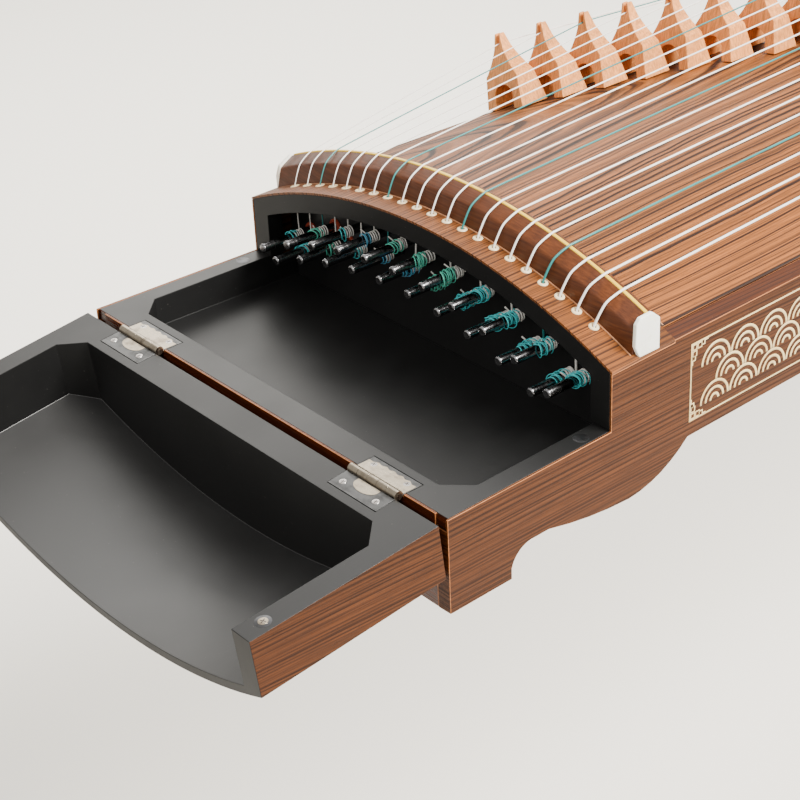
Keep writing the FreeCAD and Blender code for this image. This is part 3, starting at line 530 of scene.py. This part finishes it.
def ribbons(name, lines, width, thickness, to_place, material, body):
    """Flat inlaid lines of one width: each is (points, closed) in a plane that to_place maps."""
    work = bmesh.new()
    for points, closed in lines:
        count = len(points)
        flat = [Vector(point) for point in points]
        sides = []
        for index, point in enumerate(flat):
            ways = []
            if closed or index:
                ways.append((point - flat[index - 1]).normalized())
            if closed or index < count - 1:
                ways.append((flat[(index + 1) % count] - point).normalized())
            way = sum(ways, Vector((0, 0))).normalized()
            normal = Vector((-way.y, way.x))
            reach = width / 2 / max(0.4, abs(way.dot(ways[0])))
            sides.append((point + normal * reach, point - normal * reach))
        verts = [[work.verts.new(to_place(*p)) for p in pair] for pair in sides]
        for first, last in zip(verts, verts[1:] + (verts[:1] if closed else [])):
            work.faces.new((first[0], first[1], last[1], last[0]))
    thicken(add_piece(name, mesh_from(name, work), [material], body), thickness)


# ---- case and boards ----

def side_face(centre, normal):
    """Outer veneer, with the sloping binding on top of the soundboard's stretch."""
    return "binding" if normal.z > 0.6 and centre.z > 0.09 else "side"


def box_face(centre, normal):
    """Black inside with duller walls, and reddish wood where the box shows in the head end face."""
    if normal.x < -0.9 and centre.x < 3 * MM - REST:
        return "end"
    return "riser" if abs(normal.z) < 0.5 else "black"


def lid_face(centre, normal):
    """Veneer outside, black inside and on the rims, seen as if the lid were shut. The inner floor gets a
    lighter, shinier copy of the black: painted light.
    """
    shut = LID_OPEN.inverted()
    place, way = shut @ (centre - PIVOT), shut @ normal
    x = place.x - HINGE_REACH
    on_side = abs(place.y) > half_width(x - REST) - 2 * MM
    on_top = place.z > HEAD_CENTRE - PIVOT.z + math.sqrt(HEAD_RADIUS ** 2 - place.y ** 2) - 2.5 * MM
    if (abs(way.y) > 0.7 and on_side) or (way.z > 0.5 and on_top):
        return "side"
    # Painted light: the lid's inner floor takes the lighter, shinier copy of the black lacquer.
    if way.z < -0.6 and place.z > 12 * MM:
        return "lining"
    if way.x < -0.7 and x < 1 * MM:
        return "end"
    return "riser" if abs(way.z) < 0.5 else "black"


def leaf_face(centre, _normal):
    """Bright barrels; the leaves get a darker copy of the same metal, a painted shade."""
    return "nickel" if abs(centre.x - PIVOT.x) < 3.6 * MM else "leaf"


def make_case():
    """The finished copies of the CAD nodes."""
    for node in ("near_side_board", "far_side_board"):
        finished(node, ["side", "binding", "edge"], 0.35 * MM, side_face, edge=True)
    finished("head_end_board", ["end", "edge"], 0.35 * MM, edge=True)
    finished("string_box", ["black", "end", "riser"], 0.5 * MM, box_face)
    finished("riser_panel", ["riser"], 0.4 * MM)
    finished("head_board", ["head", "edge"], 0.3 * MM, edge=True)
    finished("soundboard", ["board"], 0.2 * MM)
    finished("tail_block", ["side"], 1.2 * MM)
    finished("back_board", ["back"], 0.5 * MM)
    finished("rest_bars", ["black"], 1.0 * MM)
    finished("pin_block", ["black"], 0.3 * MM)
    finished("arch_braces", ["raw"], 0.5 * MM)
    finished("rear_nut", ["nut"], 1.5 * MM)
    finished("lid_shell", ["black", "side", "end", "lining", "riser"], 0.4 * MM, lid_face)
    for node in ("box_hinge_leaves", "lid_hinge_leaves"):
        finished(node, ["nickel", "leaf"], 0.2 * MM, leaf_face)
    for number in range(1, STRINGS + 1):
        finished(f"bridge_{number:02d}", ["bridge"], 0.8 * MM)
        finished(f"tuning_pin_{number:02d}", ["pin"], 0.2 * MM)


def make_nut():
    """The nut's bar with its groove, the bone strip in it, and a bone cap at each end."""
    front, groove = 149.5, 163.2
    bar = [(front, -0.5), (front + 0.1, 0.6), (front + 2.8, 10.4), (front + 3.2, 11.6), (front + 3.8, 12.5),
           (front + 4.8, 13.1), (groove - 0.3, 17.8), (groove, 17.9), (groove, 16.8), (166.3, 16.8),
           (166.3, 17.8), (166.8, 17.9), (168.2, 17.6), (169.2, 16.8), (169.8, 15.6), (170, 14), (170, -0.5)]
    strip = [(groove + 0.05, 16.9), (groove + 0.05, 18.2), (163.6, 18.6), (165.5, 18.6), (165.8, 18.2),
             (165.8, 16.9)]
    nut = arched_bar("nut_bar_finish", "nut", [(x * MM - REST, z * MM) for x, z in bar], CAP_START)
    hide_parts("front_nut")
    arched_bar("nut_strip", "bone", [(x * MM - REST, z * MM) for x, z in strip], STRIP_HALF)
    make_nut_caps()


def make_nut_caps():
    """The near cap stands proud of the nut, and the far one follows its shape."""
    near_cap = [(153.5, 101.2), (149.6, 110), (150.2, 124), (153.4, 127.6), (163.6, 128), (169.9, 122.6),
                (169.9, 101.2)]
    far_cap = [(150.6, 101.2), (150.2, 112), (152.8, 119), (163, 124.2), (169.9, 121.5), (169.9, 101.2)]
    for side, name, outline in ((-1, "near_nut_cap", near_cap), (1, "far_nut_cap", far_cap)):
        work = bmesh.new()
        faces = [[work.verts.new((x * MM - REST, side * y, z * MM)) for x, z in outline]
                 for y in (CAP_START, CAP_END)]
        for index in range(len(outline)):
            after = (index + 1) % len(outline)
            work.faces.new((faces[0][index], faces[0][after], faces[1][after], faces[1][index]))
        work.faces.new(faces[0])
        work.faces.new(reversed(faces[1]))
        cap = add_piece(name, mesh_from(name, work), ["cap"], "case")
        round_edges(cap, 0.8 * MM, 3)


def surface_line(name, material, start, end, half, lift=0.08):
    """A thin line let into the top across the body."""
    section = [(start, -0.3), (start, lift), (end, lift), (end, -0.3)]
    arched_bar(name, material, [(x * MM - REST, z * MM) for x, z in section], half)


def edge_line(name, side, inset, width):
    """A thin dark line let into the top along one edge of the soundboard."""
    work = bmesh.new()
    rows = []
    for x in (BOARD_START, SIDE_END):
        edge = half_width(x) - inset
        rows.append([work.verts.new(above(x, side * (edge - w), 0.1 * MM)) for w in (0, width)])
    work.faces.new((rows[0][0], rows[0][1], rows[1][1], rows[1][0]))
    thicken(add_piece(name, mesh_from(name, work), ["dark_line"], "case"), 0.3 * MM)


def make_lines():
    line_inset = 10.2 * MM
    board_half = half_width(BOARD_START) - line_inset
    surface_line("nut_front_line", "line", 148.4, 149.4, CAP_START, 0.2)
    surface_line("board_dark_line", "dark_line", 183.3, 184.1, board_half)
    surface_line("board_light_line", "line", 184.1, 184.9, board_half)
    for side, name in ((-1, "near_edge_line"), (1, "far_edge_line")):
        edge_line(name, side, line_inset, 0.6 * MM)


def rear_nut_x(y):
    """Where the rear nut's middle line, an S of two arcs, crosses a given y."""
    swing, half, radius = REAR_NUT_SWING, half_width(SIDE_END) - BOARD_INSET, REAR_NUT_RADIUS
    chord = math.hypot(swing, half)
    to_centre = math.sqrt(radius ** 2 - chord ** 2 / 4)
    centre_x = swing / 2 - half / chord * to_centre
    centre_y = half / 2 + swing / chord * to_centre
    aside = centre_x + math.sqrt(radius ** 2 - (abs(y) - centre_y) ** 2)
    return REAR_NUT_CENTRE - math.copysign(aside, y)


def make_rear_strip():
    section = [(-1.2, 12.2), (-1.2, 13.3), (-0.9, 13.6), (0.9, 13.6), (1.2, 13.3), (1.2, 12.2)]
    half = half_width(SIDE_END) - 12 * MM
    arched_bar("rear_strip", "bone", [(x * MM, z * MM) for x, z in section], half, rear_nut_x, 120)


def make_eyelets():
    """A bone eyelet for each string, square to the head board's arch."""
    profile = [(1.35, -4), (1.35, 0.25), (1.6, 0.55), (2.2, 0.65), (2.9, 0.5), (3.3, 0.1), (3.3, -4)]
    for number in range(1, STRINGS + 1):
        y = (MIDDLE - number) * EYELET_PITCH
        mesh = lathe(f"eyelet_{number:02d}", [(r * MM, z * MM) for r, z in profile])
        piece = add_piece(f"eyelet_{number:02d}", mesh, ["eyelet"], "case")
        angle = lean(EYELET_ROW, y)
        placed(piece, above(EYELET_ROW, y, 0), (0, math.sin(angle), math.cos(angle)))


# ---- strings and what is wound on the pins ----

GREEN = (3, 8, 13, 18)
THREAD_RADIUS = 0.28 * MM


def make_string(number):
    """From the side of its pin through its eyelet, over nut, bridge and rear nut into the tail."""
    offset = MIDDLE - number
    radius = string_radius(number)
    pin_y, pin_z = pin_axis(number)
    outward = 1 if offset >= 0 else -1
    low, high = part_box(f"bridge_{number:02d}")
    bridge_x = (low.x + high.x) / 2
    bridge_y = offset * (BRIDGE_PITCH - BRIDGE_TAPER * (bridge_x - FIRST_BRIDGE))
    angle = lean(bridge_x, bridge_y)
    seat = SEAT_HEIGHT + radius
    on_bridge = (bridge_x, bridge_y + seat * math.sin(angle),
                 top_level(bridge_x, bridge_y) + seat * math.cos(angle))
    eyelet_y, strip_y, rear_y = offset * EYELET_PITCH, offset * NUT_PITCH, offset * REAR_PITCH
    hole_x, hole_y = TAIL_HOLES + TAIL_HOLE_STAGGER * (number % 2), rear_y * TAIL_GATHER
    mouth = top_level(SIDE_END, hole_y)
    bends = [
        ((EYELET_ROW, pin_y + outward * (PIN_RADIUS + radius), pin_z), 2 * MM),
        (above(EYELET_ROW, eyelet_y, 0.2 * MM), 1.6 * MM),
        (above(NUT_BEND, (eyelet_y + strip_y) / 2, NUT_SHOULDER + 0.1 * MM + radius), 3.5 * MM),
        (above(STRIP_CENTRE, strip_y, NUT_HEIGHT + 0.75 * MM + radius), 4 * MM),
        (on_bridge, 3 * MM),
        (above(rear_nut_x(rear_y), rear_y, REAR_NUT_HEIGHT + 0.7 * MM + radius), 3 * MM),
        ((hole_x, hole_y, mouth + 0.4 * MM + radius), 2 * MM),
        ((hole_x, hole_y, mouth - 15 * MM), 2 * MM),
    ]
    material = "green" if number in GREEN else "white"
    return bent_curve(f"string_{number:02d}", bends, radius, material, "case")


def pin_turns(pin, start, span, turns, strand, puffs, tilt, phase):
    """Loose turns round a pin: puffs are how far the strand stands off it along its length."""
    around = 12
    pin_y, pin_z = pin
    points = []
    steps = int(turns * around)
    for step in range(steps + 1):
        turn = 2 * math.pi * step / around + phase
        spot = step / steps * (len(puffs) - 1)
        index = min(int(spot), len(puffs) - 2)
        puff = puffs[index] + (puffs[index + 1] - puffs[index]) * (spot - index)
        reach = PIN_RADIUS + strand + puff * (0.5 + 0.5 * math.sin(turn * 0.5)) ** 2
        along = start - step / steps * span + tilt * math.cos(turn)
        points.append((along, pin_y + reach * math.cos(turn), pin_z - reach * math.sin(turn)))
    return points


def make_windings(number, chance):
    """The string's turns on the pin with its cut end, and loose silk thread in front of them."""
    body = f"pin_{number:02d}"
    pin = pin_axis(number)
    start = 0 if MIDDLE - number >= 0 else math.pi
    strand = string_radius(number) * 0.75
    span = chance.uniform(6.0, 7.5) * MM
    puffs = [0] + [chance.uniform(0, 0.9) * MM for _ in range(5)]
    turns = chance.choice((3.5, 4.0, 4.5))
    points = pin_turns(pin, EYELET_ROW, span, turns, strand, puffs, 0.7 * MM, start)
    end = Vector(points[-1])
    for back, aside, rise in ((-1.5, 2, 3), (-3, 3, 5)):
        points.append(end + Vector((back, chance.uniform(-aside, aside), rise)) * MM)
    coil_curve(f"winding_{number:02d}", points, strand, "white", body)
    colour = chance.choice(("teal", "teal", "teal", "sea", "blue") if number < 16 else ("teal",))
    threads, most = (1, 0.7) if number <= 9 else (2, 1.0)
    for index in range(threads):
        puffs = [chance.uniform(0.2, 3.4) * MM * most for _ in range(10)]
        thread_start = EYELET_ROW - span + chance.uniform(0, 2) * MM
        thread_span = chance.uniform(8, 12) * MM * most
        turns = chance.uniform(4.5, 6.5) * most
        tilt, phase = chance.uniform(-2.4, 2.4) * MM, chance.uniform(0, 2 * math.pi)
        points = pin_turns(pin, thread_start, thread_span, turns, THREAD_RADIUS, puffs, tilt, phase)
        coil_curve(f"thread_{number:02d}_{index + 1}", points, THREAD_RADIUS, colour, body)


def make_strings():
    chance = random.Random(21)
    strings = [make_string(number) for number in range(1, STRINGS + 1)]
    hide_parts("strings")
    for number in range(1, STRINGS + 1):
        make_windings(number, chance)


def make_felts():
    """Red felt washers round the first pins, against the block."""
    ring = [(3.3, 0.0), (3.3, 1.6), (4.0, 2.0), (5.2, 1.5), (5.6, 0.0)]
    for number in range(1, 5):
        y, z = pin_axis(number)
        mesh = lathe(f"felt_{number:02d}", [(r * MM, h * MM) for r, h in ring])
        felt = add_piece(f"felt_{number:02d}", mesh, ["felt"], "case")
        placed(felt, Vector((BLOCK_FACE + 0.2 * MM, y, z)), (-1, 0, 0))


# ---- fittings ----

PLATE_SINK, SCREW_SINK = 0.27 * MM, 0.24 * MM       # below the rims that meet when the lid is shut
SCREW_REACH, SCREW_SPREAD, SCREW_RADIUS = 11.5 * MM, 14.5 * MM, 2.3 * MM
MAGNET_X, MAGNET_Y = 112.5 * MM, 164 * MM


def make_screw(name, place, axis, radius, body, material="screw"):
    """A flat screw head with a cross slot, drawn as a dark cross on top: painted shade in the slot."""
    profile = [(0.0, 0.08), (0.70, 0.07), (0.95, 0.03), (1.0, -0.03), (1.0, -0.5), (0.0, -0.5)]
    head = lathe(name, [(r * radius, z * radius) for r, z in profile], 24)
    placed(add_piece(name, head, [material], body), place, axis)
    work = bmesh.new()
    for turn in (0.4, 0.4 + math.pi / 2):
        way = Vector((math.cos(turn), math.sin(turn), 0))
        aside = Vector((-way.y, way.x, 0)) * 0.09
        top = Vector((0, 0, 0.08))
        corners = [(way * along * 0.62 + aside * across) * radius + top * radius
                   for along, across in ((-1, -1), (1, -1), (1, 1), (-1, 1))]
        work.faces.new([work.verts.new(corner) for corner in corners])
    # Painted shade: a flat dark cross stands in for the shade in the slot.
    slot = add_piece(name + "_slot", mesh_from(name + "_slot", work), ["dark_line"], body)
    thicken(slot, 0.03 * radius)
    placed(slot, place, axis)


def plate(name, outline, to_place, body):
    """A thin plate from its outline (x, y), laid where to_place puts it."""
    work = bmesh.new()
    work.faces.new([work.verts.new(to_place(x, y)) for x, y in outline])
    mesh = mesh_from(name, work)
    mesh.shade_flat()
    thicken(add_piece(name, mesh, ["nickel"], body), 0.2 * MM)


def make_hinge_plates(side, end):
    """An ornate plate with a waved edge on the box leaf, and on the lid leaf a bright rounded lobe that
    paints a reflection.
    """
    middle = side * HINGE_OFFSET
    root, half, steps = 3.8, 20.4, 48
    waves = [(root, half), (9, half)]
    for step in range(steps + 1):
        y = half - 2 * half * step / steps
        waves.append((14.4 + 0.5 * math.cos(y / half * math.pi * 6) - 1.8 * (abs(y) / half) ** 4, y))
    waves += [(9, -half), (root, -half)]
    plate(f"ornate_plate_{end}", [(x * MM, middle + y * MM) for x, y in waves],
          lambda x, y: PIVOT + Vector((x, y, -PLATE_SINK)), "case")
    # Painted reflection: a bright nickel lobe laid on the dark lid leaf.
    reach, steps = 9.5, 24
    lobe = [(root, reach)]
    for step in range(steps + 1):
        turn = math.pi * step / steps
        lobe.append((6.4 + 5.2 * math.sin(turn), reach * math.cos(turn)))
    lobe.append((root, -reach))
    plate(f"painted_reflection_plate_{end}", [(x * MM, middle + y * MM) for x, y in lobe],
          lambda x, y: on_lid(x, y, PLATE_SINK), "lid")


def make_disc(name, place, axis, body):
    """A round magnet or strike plate, let into a rim."""
    profile = [(0.0, 0.15), (4.6, 0.15), (5.0, -0.05), (5.0, -2), (0.0, -2)]
    mesh = lathe(name, [(r * MM, z * MM) for r, z in profile], 36)
    placed(add_piece(name, mesh, ["magnet"], body), place, axis)


def make_fittings():
    """Hinge screws, the ornate plates and the bright lobes that paint reflections on the lid leaves, and a
    magnet with its strike plate, at the near end and the far end.
    """
    box_way, lid_way = Vector((0, 0, 1)), LID_OPEN @ Vector((0, 0, -1))
    for side, end in ((-1, "near"), (1, "far")):
        for index, along in enumerate((-SCREW_SPREAD, SCREW_SPREAD)):
            y = side * HINGE_OFFSET + along
            name = f"screw_{end}_{index + 1}"
            on_box = PIVOT + Vector((SCREW_REACH, y, -SCREW_SINK))
            make_screw(name + "_box", on_box, box_way, SCREW_RADIUS, "case")
            make_screw(name + "_lid", on_lid(SCREW_REACH, y, SCREW_SINK), lid_way, SCREW_RADIUS, "lid")
        make_hinge_plates(side, end)
        y = side * MAGNET_Y
        make_disc(f"magnet_{end}", Vector((MAGNET_X - REST, y, RIM_LEVEL)), box_way, "case")
        strike = on_lid(HINGE_REACH + MAGNET_X, y, 0.3 * MM)
        make_disc(f"strike_{end}", strike, lid_way, "lid")
        make_screw(f"strike_screw_{end}", strike + lid_way * 0.12 * MM, lid_way, 3.0 * MM, "lid", "nickel")


# ---- inlay on the near side ----

def on_near_side(x, z):
    """A point just proud of the near side board, from its place along the body and its height."""
    return x, -half_width(x) - 0.05 * MM, z


def half_circle(x, z, radius, count=18):
    """Points of a half circle that stands on its ends."""
    turns = [math.pi * step / count for step in range(count + 1)]
    return [(x + radius * math.cos(turn), z + radius * math.sin(turn)) for turn in turns]


def fret_corner(x, z, way_x, way_z, size):
    """Small squares and a step at a corner of the frame."""
    def at(across, up):
        return x + way_x * across * size, z + way_z * up * size

    def square(across, up):
        return [at(across, up), at(across + 1, up), at(across + 1, up + 1), at(across, up + 1)], True

    steps_x = [at(2.6, 0), at(2.6, 1.0), at(3.4, 1.0), at(3.4, 0.3), at(4.2, 0.3), at(4.2, 0)]
    steps_z = [at(0, 2.6), at(1.0, 2.6), at(1.0, 3.4), at(0.3, 3.4), at(0.3, 4.2), at(0, 4.2)]
    return [square(0.3, 0.3), square(1.6, 0.3), square(0.3, 1.6), (steps_x, False), (steps_z, False)]


def make_inlay():
    """A thin frame with fretted corners round rows of wave scales."""
    left, right = 198.5 * MM - REST, 560 * MM - REST
    low, high = 40.3 * MM, 93 * MM
    frame_line = [([(left, low), (right, low), (right, high), (left, high)], True)]
    ribbons("inlay_frame", frame_line, 1.1 * MM, 0.16 * MM, on_near_side, "inlay", "case")
    frets = []
    for x, way_x in ((left, 1), (right, -1)):
        for z, way_z in ((low, 1), (high, -1)):
            frets += fret_corner(x, z, way_x, way_z, 3.4 * MM)
    ribbons("inlay_corners", frets, 0.8 * MM, 0.18 * MM, on_near_side, "inlay", "case")
    scale, rows, margin = 13.5 * MM, 3, 9 * MM
    base = (low + high) / 2 - rows * scale / 2 + 0.6 * MM
    arcs = []
    first, last = left + margin + scale, right - margin - scale
    count = int((last - first) / (2 * scale))
    for row in range(rows):
        shift = scale * (row % 2)
        for index in range(count + 1 - row % 2):
            centre = first + shift + index * 2 * scale
            for share in (0.93, 0.60, 0.27):
                arcs.append((half_circle(centre, base + row * scale, scale * share), False))
    ribbons("inlay_waves", arcs, 1.7 * MM, 0.17 * MM, on_near_side, "inlay", "case")


# ---- stage, light and camera ----

FLOOR_LEVEL = -0.62
CAMERA_PLACE = (-0.61224, -0.86013, 0.66205)
CAMERA_TURNS = ((-38.970, "Z"), (59.860, "X"), (-2.772, "Z"))     # degrees: heading, tip and roll


def make_floor():
    """A pale floor well below the instrument, which has no stand."""
    work = bmesh.new()
    bmesh.ops.create_grid(work, x_segments=1, y_segments=1, size=12)
    mesh = bpy.data.meshes.new("floor")
    work.to_mesh(mesh)
    work.free()
    floor = bpy.data.objects.new("floor", mesh)
    floor.location = (0, 0, FLOOR_LEVEL)
    paint = Paint("pale_floor", 0.7)
    paint.shader.inputs["Base Color"].default_value = (0.90, 0.87, 0.80, 1)
    mesh.materials.append(paint.material)
    bpy.context.scene.collection.objects.link(floor)


def area_light(name, place, target, size, power, colour):
    """A soft rectangular lamp that faces a target."""
    light = bpy.data.lights.new(name, "AREA")
    light.shape = "RECTANGLE"
    light.size, light.size_y = size
    light.energy = power
    light.color = colour
    lamp = bpy.data.objects.new(name, light)
    lamp.location = place
    lamp.rotation_euler = (Vector(target) - Vector(place)).to_track_quat("-Z", "Y").to_euler()
    bpy.context.scene.collection.objects.link(lamp)


def make_lights():
    world = bpy.data.worlds.new("studio")
    world.use_nodes = True
    sky = world.node_tree.nodes["Background"]
    sky.inputs["Color"].default_value = (1.0, 0.97, 0.92, 1)
    sky.inputs["Strength"].default_value = 0.8
    bpy.context.scene.world = world
    area_light("key", (0.9, -1.9, 2.2), (0.1, 0, 0.1), (1.6, 1.2), 330, (1.0, 0.97, 0.92))
    area_light("fill", (-1.8, -0.6, 1.8), (0, 0, 0.1), (1.6, 1.6), 26, (1.0, 0.98, 0.96))
    area_light("ceiling", (1.0, 1.4, 1.75), (0.0, 0, 0.1), (1.6, 1.4), 17, (1.0, 0.98, 0.95))
    area_light("backdrop", (1.5, 1.75, 0.5), (1.5, 1.75, -0.6), (2.6, 2.6), 70, (1.0, 0.97, 0.90))


def make_camera():
    """The camera at the photograph's angle."""
    camera = bpy.data.cameras.new("camera")
    camera.lens = 89.58
    camera.sensor_width = 36
    camera.clip_start, camera.clip_end = 0.01, 60
    view = bpy.data.objects.new("camera", camera)
    place = Matrix.Translation(CAMERA_PLACE)
    for angle, axis in CAMERA_TURNS:
        place = place @ Matrix.Rotation(math.radians(angle), 4, axis)
    view.matrix_world = place
    bpy.context.scene.collection.objects.link(view)
    bpy.context.scene.camera = view


make_camera()
make_floor()
make_lights()
make_case()
make_nut()
make_lines()
make_rear_strip()
make_eyelets()
make_strings()
make_felts()
make_fittings()
make_inlay()

bpy.context.view_layer.update()
